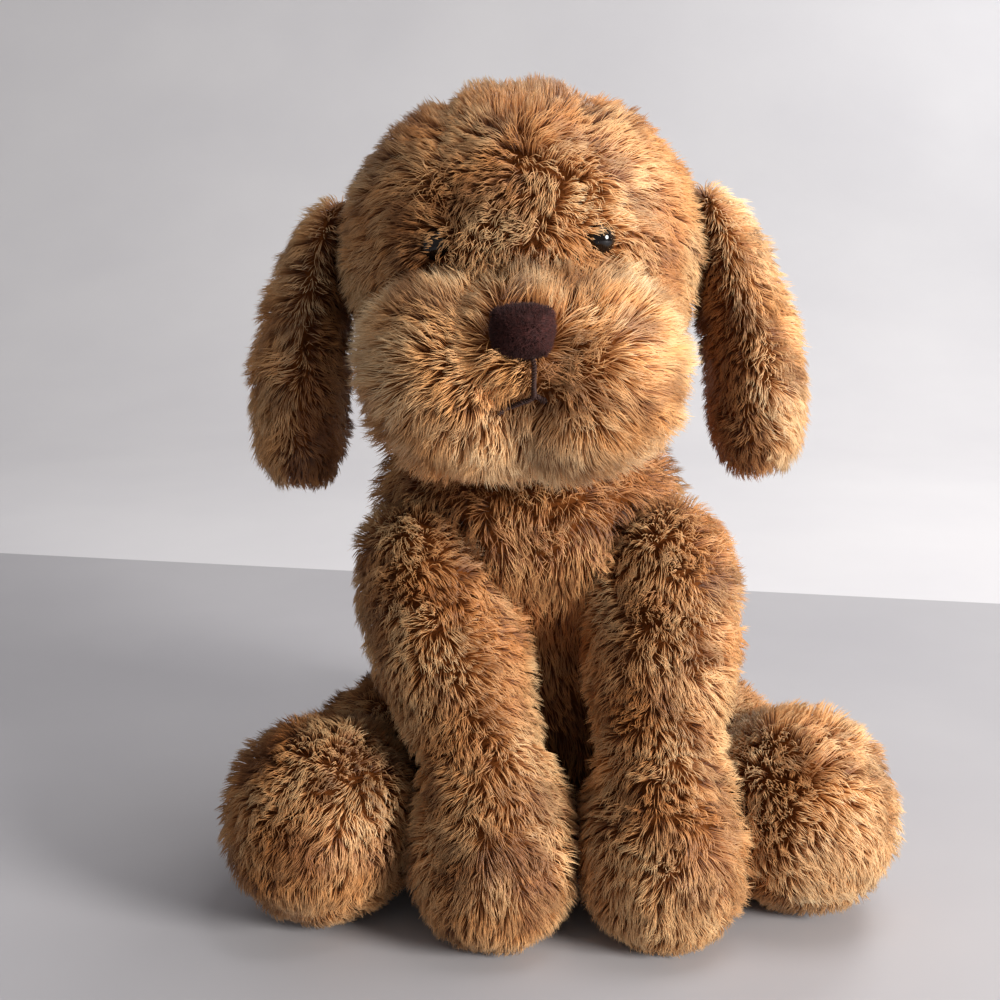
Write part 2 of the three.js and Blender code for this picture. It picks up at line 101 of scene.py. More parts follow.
# Face
HEAD_CENTRE = np.array([-0.0085, -0.012, 0.1985])
FACE_TRIM_ABOVE = 0.13  # panels that lie wholly above this are trimmed round the face
FOREHEAD = np.array([-0.0085, -0.046, 0.222])
NOSE_TIP = np.array([-0.0075, -0.087, 0.181])
NOSE_SHRINK = 0.0004
NOSE_SQUARENESS = 0.5  # from 0, as remeshed, to 1, square
NOSE_WIDTH = 0.90  # shares of the CAD nose's half sizes
NOSE_WIDER_ABOVE = 0.08
NOSE_HEIGHT = 0.96
NOSE_DROP = 0.04
NOSE_FOOTPRINT = (0.96, 1.6, 0.96)  # no pile grows inside this share of it
NOSE_FLOCK_PER_M2 = 9e6
NOSE_FLOCK_LENGTH = 0.0013
NOSE_FLOCK_RADIUS = 0.00009
# The mouth's lines seen from the front, as (x, z).
MOUTH_STEM = [(-0.0070, 0.1745), (-0.0066, 0.1665)]
MOUTH_RIGHT = [(-0.0066, 0.1665), (-0.0106, 0.1642), (-0.0172, 0.1598)]
MOUTH_LEFT = [(-0.0066, 0.1665), (-0.0042, 0.1655), (-0.0024, 0.1645)]
MOUTH_LIFT = 0.0036  # how far the thread lies above the skin
MOUTH_PARTING = 0.0050  # how far from the thread the pile is parted
MOUTH_BARE = 0.0015
MOUTH_CUT = 0.72  # share of the length lost along the mouth
MOUTH_TURN = 1.6  # weight of the turn away from the mouth, against the flow's own 1
THREAD_RADIUS = 0.00048
THREAD_TWIST = 0.0016  # length of one turn of the plies
THREAD_RINGS = 60
THREAD_SIDES = 6
EYE_CLEARING = 0.0042
EYE_OPEN = {"left": 0.75, "right": 0.25}  # how far the pile round each eye is cut back, from 0 to 1
EYE_BELOW = (-0.003, 0.002)  # depths under the eye between which the pile is turned down
EYE_DEPTH = 0.02  # only pile nearer to the eye's front than this is trimmed
EYE_TURN = 0.9  # weight of the turn away from the eye
EYE_SINK = 0.0026
BEAD_RADIUS = 0.0046
BEAD_HEIGHT = 0.0042
BEAD_PROUD = 0.002  # how far the bead stands past the CAD eye, before it is sunk
BEAD_SHANK_RADIUS = 0.0015
BEAD_SHANK_END = -0.010
BEAD_DOME_STEPS = 12
BEAD_TURN_STEPS = 48

# Studio
CAMERA_AT = (-0.015, -0.462, 0.217)
CAMERA_PITCH = math.radians(12)
CAMERA_LENS = 52.3  # millimetres, on a sensor 36 wide
SENSOR_WIDTH = 36
BOARD_BACK = 0.34
BOARD_TURN = math.radians(-11)
BOARD_SIDE = 1.3
BOARD_FRONT = 2.0
BOARD_THICK = 0.004
SWEEP_START = 0.75
SWEEP_RADIUS = 0.9
SWEEP_STEPS = 24
FLOOR_REACH = 7.0

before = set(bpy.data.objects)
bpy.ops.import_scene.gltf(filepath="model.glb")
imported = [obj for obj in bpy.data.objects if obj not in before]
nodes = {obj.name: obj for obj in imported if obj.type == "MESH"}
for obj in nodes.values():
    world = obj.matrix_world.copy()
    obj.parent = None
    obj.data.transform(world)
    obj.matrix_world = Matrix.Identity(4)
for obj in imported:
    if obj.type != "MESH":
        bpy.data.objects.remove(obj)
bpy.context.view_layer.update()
rng = np.random.default_rng(SEED)


# Materials


def linear(red, green, blue):
    """The linear colour of an sRGB one given from 0 to 255."""
    c = np.array([red, green, blue]) / 255
    return (*np.where(c <= 0.04045, c / 12.92, ((c + 0.055) / 1.055) ** 2.4), 1)


class Shader:
    """A node material being put together."""

    def __init__(self, name, roughness, sheen=0.0, coat=0.0, ior=1.45):
        self.material = bpy.data.materials.new(name)
        self.material.use_nodes = True
        self.tree = self.material.node_tree
        self.skin = self.tree.nodes["Principled BSDF"]
        self.skin.inputs["Roughness"].default_value = roughness
        self.skin.inputs["Sheen Weight"].default_value = sheen
        self.skin.inputs["Coat Weight"].default_value = coat
        self.skin.inputs["IOR"].default_value = ior

    def node(self, kind, **settings):
        made = self.tree.nodes.new(kind)
        for key, value in settings.items():
            setattr(made, key, value)
        return made

    def link(self, out, into):
        self.tree.links.new(out, into)

    def noise(self, scale, detail=3.0, stretch=(1, 1, 1)):
        """Noise in the object's own space, with scale in waves per metre."""
        where = self.node("ShaderNodeTexCoord")
        turn = self.node("ShaderNodeMapping")
        turn.inputs["Scale"].default_value = stretch
        made = self.node("ShaderNodeTexNoise")
        made.inputs["Scale"].default_value = scale
        made.inputs["Detail"].default_value = detail
        self.link(where.outputs["Object"], turn.inputs["Vector"])
        self.link(turn.outputs["Vector"], made.inputs["Vector"])
        return made.outputs["Fac"]

    def ramp(self, value, stops):
        """A colour ramp through (place, colour) stops."""
        made = self.node("ShaderNodeValToRGB")
        band = made.color_ramp
        while len(band.elements) < len(stops):
            band.elements.new(0.5)
        for element, (place, colour) in zip(band.elements, stops):
            element.position = place
            element.color = colour
        self.link(value, made.inputs["Fac"])
        return made.outputs["Color"]

    def mix(self, share, first, second, mode="MIX"):
        """Two colours mixed by a share that is a number or a socket."""
        made = self.node("ShaderNodeMix", data_type="RGBA", blend_type=mode)
        for place, value in ((0, share), (6, first), (7, second)):
            socket = made.inputs[place]
            if isinstance(value, bpy.types.NodeSocket):
                self.link(value, socket)
            else:
                socket.default_value = value
        return made.outputs[2]

    def scale(self, value, low, high):
        """A value from 0 to 1 stretched over low to high."""
        made = self.node("ShaderNodeMapRange")
        made.inputs["To Min"].default_value = low
        made.inputs["To Max"].default_value = high
        self.link(value, made.inputs["Value"])
        return made.outputs["Result"]

    def colour(self, socket):
        self.link(socket, self.skin.inputs["Base Color"])
        return self.material

    def bump(self, value, distance, strength=0.5):
        made = self.node("ShaderNodeBump")
        made.inputs["Distance"].default_value = distance
        made.inputs["Strength"].default_value = strength
        self.link(value, made.inputs["Height"])
        self.link(made.outputs["Normal"], self.skin.inputs["Normal"])


BLACK = (0, 0, 0, 1)
GREY = (0.7, 0.7, 0.7, 1)
WHITE = (1, 1, 1, 1)
# Tones that strands are multiplied by, and the painted shade that darkens patches between tufts.
DULLER = (0.80, 0.76, 0.72, 1)
BRIGHTER = (1.12, 1.11, 1.08, 1)
SHADED = (0.50, 0.44, 0.40, 1)


def plush_material(name, root, middle, warm, tip, patch_scale=38):
    """Pile in patches of two tans with each strand different: painted shade darkens it towards the root and
    in patches, and painted sheen turns it pale towards the tip in other patches.
    """
    s = Shader(name, roughness=0.44, sheen=0.06, ior=1.42)
    pile = s.node("ShaderNodeAttribute", attribute_name="pile")
    parts = s.node("ShaderNodeSeparateXYZ")
    s.link(pile.outputs["Vector"], parts.inputs["Vector"])
    along, strand, tuft = parts.outputs
    patch = s.ramp(s.noise(patch_scale, 4), [(0.36, middle), (0.62, warm)])
    # Darker towards the root: painted shade deep in the pile.
    lower = s.mix(s.ramp(along, [(0, BLACK), (0.6, WHITE)]), root, patch)
    tipped = s.ramp(along, [(0.35, BLACK), (1, WHITE)])
    # Painted sheen: patches, half from noise and half from each tuft, where the strands turn to the pale tip
    # colour.
    painted_sheen = s.ramp(s.noise(patch_scale * 0.8, 3), [(0.42, BLACK), (0.60, WHITE)])
    # Near the floor the pale share is at least seven tenths.
    height = s.node("ShaderNodeSeparateXYZ")
    s.link(s.node("ShaderNodeTexCoord").outputs["Object"], height.inputs["Vector"])
    near_floor = s.ramp(height.outputs["Z"], [(0.004, GREY), (0.020, BLACK)])
    painted_sheen = s.mix(1.0, s.mix(0.5, painted_sheen, s.scale(tuft, 0.0, 1.0)), near_floor, "LIGHTEN")
    pale = s.mix(painted_sheen, patch, tip)
    body = s.mix(tipped, lower, pale)
    each = s.ramp(strand, [(0, DULLER), (0.5, WHITE), (1, BRIGHTER)])
    # Painted shade in patches.
    painted_shade = s.ramp(s.noise(patch_scale * 1.7, 3), [(0.36, SHADED), (0.52, WHITE)])
    return s.colour(s.mix(1.0, s.mix(1.0, body, each, "MULTIPLY"), painted_shade, "MULTIPLY"))


def backing_material():
    """The knitted cloth that the pile stands in, dark brown as painted shade at the bottom of the pile."""
    s = Shader("pile_backing", roughness=1.0, ior=1.1)
    return s.colour(s.ramp(s.noise(700, 3), [(0.3, linear(84, 46, 20)), (0.7, linear(112, 64, 30))]))


def flock_material():
    """Short dark maroon flock."""
    s = Shader("nose_flock", roughness=0.85, sheen=0.03)
    tone = s.ramp(s.noise(900, 4), [(0.3, linear(40, 12, 12)), (0.75, linear(74, 28, 22))])
    return s.colour(tone)


def bead_material():
    """Polished dark brown plastic."""
    s = Shader("bead_eye", roughness=0.06, coat=0.1, ior=1.42)
    tone = s.ramp(s.noise(260, 2), [(0.3, linear(8, 5, 4)), (0.8, linear(22, 12, 8))])
    return s.colour(tone)


def thread_material():
    """Dark brown spun thread."""
    s = Shader("mouth_thread", roughness=0.7)
    tone = s.ramp(s.noise(2600, 3), [(0.3, linear(34, 18, 14)), (0.7, linear(70, 40, 30))])
    return s.colour(tone)


def filling_material():
    """Loose white polyester fibre."""
    s = Shader("fibre_filling", roughness=0.9, sheen=0.2)
    fibres = s.noise(420, 6, (1, 1, 3))
    s.bump(fibres, 0.0012)
    return s.colour(s.ramp(fibres, [(0.3, linear(214, 210, 200)), (0.7, linear(244, 242, 236))]))


def pouch_material():
    """Plain woven cotton."""
    s = Shader("pouch_cotton", roughness=0.85)
    weave = s.noise(1500, 2, (1, 1, 0.3))
    s.bump(weave, 0.0003)
    return s.colour(s.ramp(weave, [(0.3, linear(176, 160, 134)), (0.7, linear(206, 192, 166))]))


def washer_material():
    """Moulded white polythene with a fine grain."""
    s = Shader("washer_plastic", roughness=0.45)
    grain = s.noise(1800, 3)
    s.bump(grain, 0.0001)
    return s.colour(s.ramp(grain, [(0.3, linear(196, 194, 188)), (0.7, linear(222, 220, 214))]))


# Forms: the smooth stuffed shapes that the pile grows from

SIDES = ("left", "right")
FORMS = {
    "head": (
        ["head_gusset", "head_side_left", "head_side_right", "cheek_left", "cheek_right", "chin"],
        ["head_stuffing", "muzzle_stuffing"],
    ),
    "torso": (
        ["seat_panel", "chest_panel", "back_panel_left", "back_panel_right"],
        ["torso_stuffing", "pellet_pouch"],
    ),
    "neck": (["neck_band"], ["neck_stuffing"]),
    "tail": (["tail"], ["tail_stuffing"]),
}
for side in SIDES:
    FORMS[f"ear_{side}"] = ([f"ear_outer_{side}", f"ear_lining_{side}"], [f"ear_padding_{side}"])
    FORMS[f"front_leg_{side}"] = ([f"front_leg_{side}", f"front_paw_{side}"], [f"front_leg_stuffing_{side}"])
    FORMS[f"hind_leg_{side}"] = (
        [f"thigh_{side}", f"foot_upper_{side}", f"foot_sole_{side}"],
        [f"hind_leg_stuffing_{side}"],
    )


def remeshed(names, voxel):
    """The points and triangles of one skin round several CAD nodes."""
    joined = bmesh.new()
    for name in names:
        joined.from_mesh(nodes[name].data)
    bmesh.ops.remove_doubles(joined, verts=joined.verts, dist=1e-6)
    mesh = bpy.data.meshes.new("form")
    joined.to_mesh(mesh)
    joined.free()
    form = bpy.data.objects.new("form", mesh)
    bpy.context.scene.collection.objects.link(form)
    change = form.modifiers.new("round", "REMESH")
    change.mode = "VOXEL"
    change.voxel_size = voxel
    made = form.evaluated_get(bpy.context.evaluated_depsgraph_get()).to_mesh()
    made.calc_loop_triangles()
    points = np.empty(len(made.vertices) * 3)
    made.vertices.foreach_get("co", points)
    triangles = np.empty(len(made.loop_triangles) * 3, int)
    made.loop_triangles.foreach_get("vertices", triangles)
    bpy.data.objects.remove(form)
    return points.reshape(-1, 3), triangles.reshape(-1, 3)


def edges_of(triangles):
    """Both ends of every edge, each edge in both directions."""
    pairs = np.concatenate([triangles[:, [0, 1]], triangles[:, [1, 2]], triangles[:, [2, 0]]])
    pairs = np.unique(np.sort(pairs, 1), axis=0)
    return np.concatenate([pairs, pairs[:, ::-1]])


def outer_part(points, triangles):
    """Only the component that reaches furthest, without inner shells."""
    label = np.arange(len(points))
    pairs = edges_of(triangles)
    while True:
        before = label.copy()
        np.minimum.at(label, pairs[:, 0], label[pairs[:, 1]])
        label = label[label]
        if (before == label).all():
            break
    largest = np.bincount(label).argmax()
    kept = label == largest
    number = np.cumsum(kept) - 1
    return points[kept], number[triangles[kept[triangles[:, 0]]]]


# Smoothing goes this far towards the neighbours' mean, then back out.
SHRINK = 0.5
REGROW = -0.52
EASE = 0.6


def smoothed(points, triangles, steps):
    """Facets eased away without the shape shrinking."""
    pairs = edges_of(triangles)
    count = np.bincount(pairs[:, 0], minlength=len(points))[:, None]
    for step in range(2 * steps):
        sums = [np.bincount(pairs[:, 0], points[pairs[:, 1], k], len(points)) for k in range(3)]
        points = points + (np.stack(sums, 1) / count - points) * (SHRINK if step % 2 == 0 else REGROW)
    return points


def filled(points, triangles, share, steps):
    """Hollows raised towards the skin round them, by each point's share, with nothing pushed in."""
    pairs = edges_of(triangles)
    count = np.bincount(pairs[:, 0], minlength=len(points))[:, None]
    eased = points
    for _ in range(steps):
        sums = [np.bincount(pairs[:, 0], eased[pairs[:, 1], k], len(points)) for k in range(3)]
        eased = eased + EASE * (np.stack(sums, 1) / count - eased)
    normals = normals_of(points, triangles)
    rise = np.maximum(((eased - points) * normals).sum(1), 0)
    return points + normals * (rise * share)[:, None]


def normals_of(points, triangles):
    a, b, c = (points[triangles[:, k]] for k in range(3))
    face = np.cross(b - a, c - a)
    made = np.zeros_like(points)
    for k in range(3):
        np.add.at(made, triangles[:, k], face)
    return unit(made)


def unit(v):
    return v / np.maximum(np.linalg.norm(v, axis=-1, keepdims=True), 1e-12)


def smoothstep(x, low, high):
    t = np.clip((x - low) / (high - low), 0, 1)
    return t * t * (3 - 2 * t)


def mound(points, centre, reach):
    """A soft bell that is 1 at its centre."""
    return np.exp(-(((points - np.array(centre)) / np.array(reach)) ** 2).sum(1))


def tree_of_node(name):
    mesh = nodes[name].data
    return BVHTree.FromPolygons([v.co[:] for v in mesh.vertices], [p.vertices[:] for p in mesh.polygons])


def depth_inside(points, tree):
    """How deep each point is inside a closed form, or 0 outside it."""
    depth = np.zeros(len(points))
    for i, p in enumerate(points):
        place, normal, _, gap = tree.find_nearest(p)
        if (Vector(p) - place).dot(normal) < 0:
            depth[i] = gap
    return depth


def gaps_to(points, tree):
    return np.array([tree.find_nearest(p)[3] for p in points])


class Form:
    """A skin: each point's normal, panel, distance to the nearest seam and depth in other forms."""

    def __init__(self, panels, points, triangles, normals):
        self.panels = panels
        self.points = points
        self.triangles = triangles
        self.normals = normals
        self.panel = np.zeros(len(points), int)
        self.seam = np.ones(len(points))
        self.buried = np.zeros(len(points))
        self.tree = BVHTree.FromPolygons(points.tolist(), triangles.tolist())

    def find_panels(self):
        """Gives each point to the nearest CAD panel, and finds the seams between panels."""
        gaps = np.stack([gaps_to(self.points, tree_of_node(p)) for p in self.panels], 1)
        self.panel = gaps.argmin(1)
        if len(self.panels) > 1:
            ordered = np.sort(gaps, 1)
            self.seam = ordered[:, 1] - ordered[:, 0]

    def bury_in(self, other):
        self.buried = np.maximum(self.buried, depth_inside(self.points, other.tree))


def stuffed_form(name):
    """The rounded skin over one group of CAD panels and their filling."""
    panels, fills = FORMS[name]
    voxel = EAR_VOXEL if name.startswith("ear") else VOXEL
    points, triangles = outer_part(*remeshed(panels + fills, voxel))
    points = smoothed(points, triangles, ROUNDING_STEPS)
    if name == "head":
        low = 1 - smoothstep(points[:, 2], CHEEK_FILLING_LOW, CHEEK_FILLING_HIGH)
        points = filled(points, triangles, CHEEK_FILLING * low, CHEEK_FILLING_STEPS)
        points[:, 2] -= CHIN_FULLNESS * mound(points, *CHIN_MOUND)
        points = smoothed(points, triangles, CHIN_ROUNDING_STEPS)
    if name == "torso":
        points[:, 1] -= CHEST_FULLNESS * mound(points, *CHEST_MOUND)
    points = points + normals_of(points, triangles) * SKIN_SWELL
    form = Form(panels, points, triangles, normals_of(points, triangles))
    form.find_panels()
    return form


forms = {name: stuffed_form(name) for name in FORMS}
for name, form in forms.items():
    for other_name, other in forms.items():
        if other_name != name:
            form.bury_in(other)


# Combing: which way the pile lies


def away_from(point, fall=0.0):
    """A flow that spreads from a point, with some fall."""
    def flow(p):
        offset = p - np.array(point)
        far = np.linalg.norm(offset, axis=1, keepdims=True)
        return offset / np.maximum(far, FLOW_START) + np.array([0, 0, -fall])
    return flow


def along(*direction):
    def flow(p):
        return np.broadcast_to(unit(np.array(direction, float)), p.shape)
    return flow


HEAD_FLOW = away_from(FOREHEAD, 0.25)
MUZZLE_FLOW = away_from(NOSE_TIP, 0.1)
# Panel: its body, pile length, flow and material slot.
PLUSH = {
    "head_gusset": ("head", 0.0078, HEAD_FLOW, "plush"),
    "head_side_left": ("head", 0.0080, HEAD_FLOW, "plush"),
    "head_side_right": ("head", 0.0080, HEAD_FLOW, "plush"),
    "cheek_left": ("head", 0.0092, MUZZLE_FLOW, "plush"),
    "cheek_right": ("head", 0.0092, MUZZLE_FLOW, "plush"),
    "chin": ("head", 0.0098, MUZZLE_FLOW, "plush"),
    "neck_band": ("neck", 0.007, along(0, 0, -1), "plush"),
    "seat_panel": ("torso", 0.006, away_from((0, 0.024, 0.03)), "plush"),
    "chest_panel": ("torso", 0.0085, along(0.05, -0.1, -1), "chest_plush"),
    "back_panel_left": ("torso", 0.0082, along(0, 0.1, -1), "plush"),
    "back_panel_right": ("torso", 0.0082, along(0, 0.1, -1), "plush"),
    "tail": ("tail", 0.009, along(0, 1, 0.5), "plush"),
    "ear_outer_left": ("ear_left", 0.0086, along(0.1, 0, -1), "plush"),
    "ear_lining_left": ("ear_left", 0.006, along(-0.1, 0, -1), "ear_lining"),
    "ear_outer_right": ("ear_right", 0.0086, along(-0.1, 0, -1), "plush"),
    "ear_lining_right": ("ear_right", 0.006, along(0.1, 0, -1), "ear_lining"),
    "front_leg_right": ("front_leg_right", 0.0074, along(0.2, -0.35, -1), "plush"),
    "front_leg_left": ("front_leg_left", 0.0074, along(-0.02, -0.35, -1), "plush"),
    "front_paw_right": ("front_leg_right", 0.0082, away_from((-0.019, -0.054, 0.060), 0.3), "plush"),
    "front_paw_left": ("front_leg_left", 0.0082, away_from((0.033, -0.053, 0.060), 0.3), "plush"),
    "thigh_right": ("hind_leg_right", 0.0080, along(-0.4, -0.9, -0.2), "plush"),
    "thigh_left": ("hind_leg_left", 0.0080, along(0.5, -0.8, -0.2), "plush"),
    "foot_upper_right": ("hind_leg_right", 0.0080, away_from((-0.061, -0.02, 0.05), 0.1), "plush"),
    "foot_upper_left": ("hind_leg_left", 0.0080, away_from((0.065, -0.014, 0.05), 0.1), "plush"),
    "foot_sole_right": ("hind_leg_right", 0.0080, away_from((-0.078, -0.075, 0.034)), "sole_plush"),
    "foot_sole_left": ("hind_leg_left", 0.0080, away_from((0.086, -0.068, 0.034)), "sole_plush"),
}


def hashed(cells, salt):
    """Three even random numbers for each whole-number cell."""
    mixed = (cells * np.array([73856093, 19349663, 83492791])).sum(-1) + salt * 2654435761
    mixed = mixed & 0xFFFFFFFF
    out = []
    for _ in range(3):
        mixed = (mixed ^ (mixed >> 15)) * 2246822519 & 0xFFFFFFFF
        mixed = (mixed ^ (mixed >> 13)) * 3266489917 & 0xFFFFFFFF
        out.append(mixed / 4294967296)
    return np.stack(out, -1)


def nearest_cell(points, size, salt):
    """The nearest point of a jittered grid, and three random numbers that all its neighbours share."""
    base = np.floor(points / size).astype(np.int64)
    best = np.full(len(points), np.inf)
    centre = np.zeros_like(points)
    numbers = np.zeros_like(points)
    for offset in np.ndindex(3, 3, 3):
        cell = base + np.array(offset) - 1
        place = (cell + hashed(cell, salt)) * size
        gap = ((place - points) ** 2).sum(1)
        closer = gap < best
        best = np.where(closer, gap, best)
        centre[closer] = place[closer]
        numbers[closer] = hashed(cell, salt + 1)[closer]
    return centre, numbers


def path_on_head(line, lift):
    """Points of a front-view line laid on the head, a little above its skin."""
    made = []
    for (x0, z0), (x1, z1) in zip(line, line[1:]):
        for t in np.linspace(0, 1, 8):
            start = Vector((x0 + (x1 - x0) * t, -0.2, z0 + (z1 - z0) * t))
            place, normal, _, _ = forms["head"].tree.ray_cast(start, Vector((0, 1, 0)))
            made.append(place + normal * lift)
    return np.array(made)


def front_of(node):
    """The front end and the axis of an eye bead, from its CAD solid."""
    co = np.array([v.co for v in nodes[node].data.vertices])
    middle = co.mean(0)
    axis = np.linalg.eigh(np.cov((co - middle).T))[1][:, -1]
    if axis @ (middle - HEAD_CENTRE) < 0:
        axis = -axis
    reach = (co - middle) @ axis
    return middle + axis * reach.max(), axis


mouth = [path_on_head(line, MOUTH_LIFT) for line in (MOUTH_STEM, MOUTH_LEFT, MOUTH_RIGHT)]
eye_ends = {side: front_of(f"eye_{side}") for side in SIDES}
nose_low, nose_high = (np.array(corner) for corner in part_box("nose"))
nose_centre = (nose_low + nose_high) / 2
nose_half = (nose_high - nose_low) / 2


def mouth_trim(p, length, tangent):
    """Shorter pile along the mouth, turned away from it."""
    line = np.concatenate(mouth)
    offset = p[:, None] - line[None]
    gap = np.linalg.norm(offset, axis=2)
    near = gap.argmin(1)
    apart = gap.min(1)
    close = 1 - smoothstep(apart, MOUTH_PARTING * 0.3, MOUTH_PARTING * 1.6)
    outwards = unit(offset[np.arange(len(p)), near] * (1, 0.2, 1))
    tangent = tangent + MOUTH_TURN * close[:, None] * outwards
    cut = 1 - smoothstep(apart, MOUTH_BARE, MOUTH_PARTING * 1.5)
    return length * (1 - MOUTH_CUT * cut), tangent


def eye_trim(p, length, tangent):
    """Shorter pile round each eye, turned away from it below."""
    for side, (end, axis) in eye_ends.items():
        offset = p - end
        flat = offset - (offset @ axis)[:, None] * axis
        gap = np.linalg.norm(flat, axis=1)
        facing = (offset @ axis) > -EYE_DEPTH
        below = smoothstep(-offset[:, 2], *EYE_BELOW)
        reach = 1 - smoothstep(gap, EYE_CLEARING * 0.55, EYE_CLEARING * 1.35)
        cut = np.where(facing, reach * EYE_OPEN[side] * (0.5 + 0.3 * below), 0)
        length = length * (1 - cut)
        tangent = tangent + EYE_TURN * (cut * below)[:, None] * unit(flat)
    return length, tangent


def face_trim(p, length, tangent):
    """Pile trimmed at the mouth and the eyes, and none under the nose."""
    length, tangent = mouth_trim(p, length, tangent)
    length, tangent = eye_trim(p, length, tangent)
    inside = (((p - nose_centre) / (nose_half * NOSE_FOOTPRINT)) ** 2).sum(1) < 1
    return np.where(inside, 0, length), tangent


def roots_on(form, panel_number, density, length):
    """Root points on one panel, with their normals and the trimmed length of the pile at each."""
    corners = form.points[form.triangles]
    area = np.linalg.norm(np.cross(corners[:, 1] - corners[:, 0], corners[:, 2] - corners[:, 0]), axis=1) / 2
    on_panel = (form.panel[form.triangles] == panel_number).mean(1)
    shown = 1 - smoothstep(form.buried[form.triangles].mean(1), BURIED_REACH * 0.5, BURIED_REACH)
    weight = area * on_panel * shown
    count = min(int(weight.sum() * density), MOST_STRANDS)
    picked = rng.choice(len(area), count, p=weight / weight.sum())
    u, v = rng.random((2, count, 1))
    u, v = np.where(u + v > 1, 1 - u, u), np.where(u + v > 1, 1 - v, v)
    shares = np.concatenate([1 - u - v, u, v], 1)[:, :, None]
    ends = form.triangles[picked]
    p = (form.points[ends] * shares).sum(1)
    n = unit((form.normals[ends] * shares).sum(1))
    seam = (form.seam[ends] * shares[:, :, 0]).sum(1)
    buried = (form.buried[ends] * shares[:, :, 0]).sum(1)
    kept = 1.0 if form.panels[panel_number].startswith("cheek") else SEAM_TRIM
    trim = kept + (1 - kept) * smoothstep(seam, 0, SEAM_REACH)
    trim *= 1 - BURIED_TRIM * smoothstep(buried, 0, BURIED_REACH)
    trim *= PRESSED + (1 - PRESSED) * smoothstep(p[:, 2], PRESSED_TO, PRESSED_FROM)
    return p, n, length * trim


def flattened(v, n):
    """What is left of each vector once its share along the normal is taken away."""
    return v - (v * n).sum(1)[:, None] * n


def strands(p, n, length, flow):
    """The middle and the tip of each strand, and the random numbers that colour it."""
    tangent = flow(p)
    if p[:, 2].min() > FACE_TRIM_ABOVE:
        length, tangent = face_trim(p, length, tangent)
    kept = length > SHORTEST_STRAND
    p, n, length, tangent = p[kept], n[kept], length[kept], tangent[kept]
    clump, clump_random = nearest_cell(p, CLUMP, 3)
    tuft, tuft_random = nearest_cell(p, TUFT, 11)
    wave_random = nearest_cell(p, WAVE, 29)[1]
    own = rng.normal(0, 1, p.shape)
    tangent = unit(flattened(tangent, n)) + (
        TUFT_STRAY * (tuft_random - 0.5)
        + CLUMP_STRAY * (clump_random - 0.5)
        + WAVE_STRAY * (wave_random - 0.5)
        + OWN_STRAY * own
    )
    tangent = unit(flattened(tangent, n))
    lift = MEAN_LIFT + TUFT_LIFT * (tuft_random[:, 2] - 0.5) + CLUMP_LIFT * (clump_random[:, 1] - 0.5)
    lift = np.clip(lift, LEAST_LIFT, MOST_LIFT)[:, None]
    clump_length = 1 + CLUMP_LENGTH * (clump_random[:, 0] - 0.5)
    length = (length * clump_length * rng.uniform(*OWN_LENGTH, len(p)))[:, None]
    pull = CLUMP_PULL * flattened(clump - p, n) + TUFT_PULL * flattened(tuft - p, n)
    over = np.sqrt(1 - lift**2) * tangent
    middle_over = BEND_AT * (STRAIGHTNESS + (1 - STRAIGHTNESS) * BEND_AT)
    middle = p + length * (BEND_AT * (lift + MIDDLE_LIFT) * n + middle_over * over) + BEND_AT**2 * pull
    tip = p + length * (lift * n + over) + pull
    for end in (middle, tip):
        end[:, 2] = np.maximum(end[:, 2], FLOOR_CLEARANCE + FLOOR_SPREAD * rng.random(len(p)))
    shade = np.stack([rng.random(len(p)), 0.35 * clump_random[:, 2] + 0.65 * tuft_random[:, 1]], 1)
    return p, middle, tip, n, shade


RING = np.array([0, 2, 4]) * math.pi / 3
STRAND_TAPER = 0.95
# A strand's shading normals are a mix of the skin's and its own.
SKIN_SHADING = 0.6
STRAND_SHADING = 0.55
# A strand's seven vertices in its own cell of the UV square, below the strip that the skin takes.
STRAND_UV = np.array([[0.2, 0.1], [0.5, 0.1], [0.8, 0.1], [0.2, 0.6], [0.5, 0.6], [0.8, 0.6], [0.5, 0.95]])
STRANDS_UV_TOP = 0.9
SKIN_UV_START = np.array([0.01, 0.92])
SKIN_UV_SIZE = np.array([0.98, 0.07])
SKIN_PILE = (0.0, 0.3, 0.3)  # the skin's own values of the pile attribute


def ring_round(centre, direction, radius):
    """Three points round each centre, square to its direction."""
    side = unit(np.cross(direction, [0.31, 0.52, 0.79]))
    up = unit(np.cross(direction, side))
    turn = side[:, None] * np.cos(RING)[None, :, None] + up[:, None] * np.sin(RING)[None, :, None]
    return centre[:, None] + turn * radius, turn


